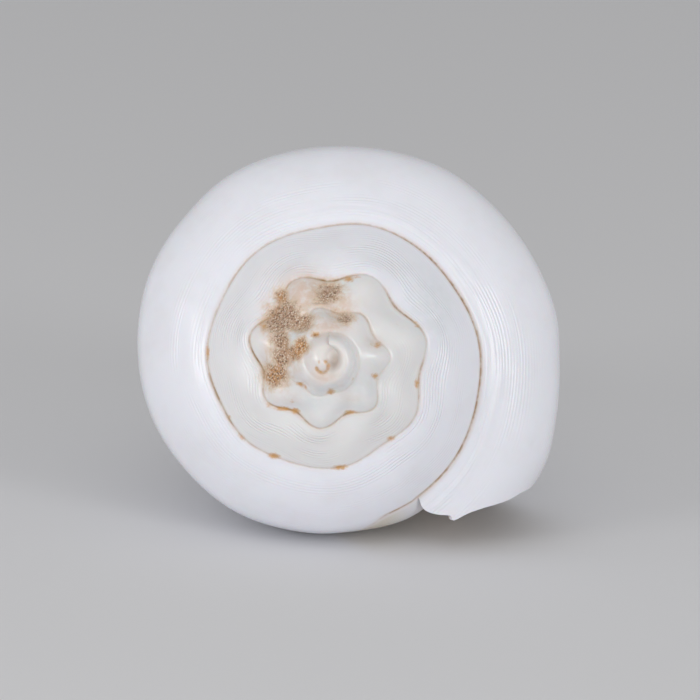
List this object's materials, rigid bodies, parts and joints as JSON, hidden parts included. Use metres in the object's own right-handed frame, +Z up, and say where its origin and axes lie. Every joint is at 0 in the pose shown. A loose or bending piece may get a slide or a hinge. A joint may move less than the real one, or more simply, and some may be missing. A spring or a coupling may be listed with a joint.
{
  "type": "conch shell",
  "caption": "Heavy spiral seashell with a low knobbed spire, a wide smooth last whorl, an open mouth and a straight canal, lying on its mouth.",
  "frame": {"origin": "on the surface that the shell rests on, under the middle of its bounding box", "axes": "+Z up; the canal points towards +Y and the spire towards -Y, raised 14.7 degrees"},
  "size_m": [0.0888, 0.1474, 0.0797],
  "materials": {
    "shell": "natural white shell, satin gloss"
  },
  "bodies": {
    "root": {"shell": "shell"}
  },
  "joints": []
}
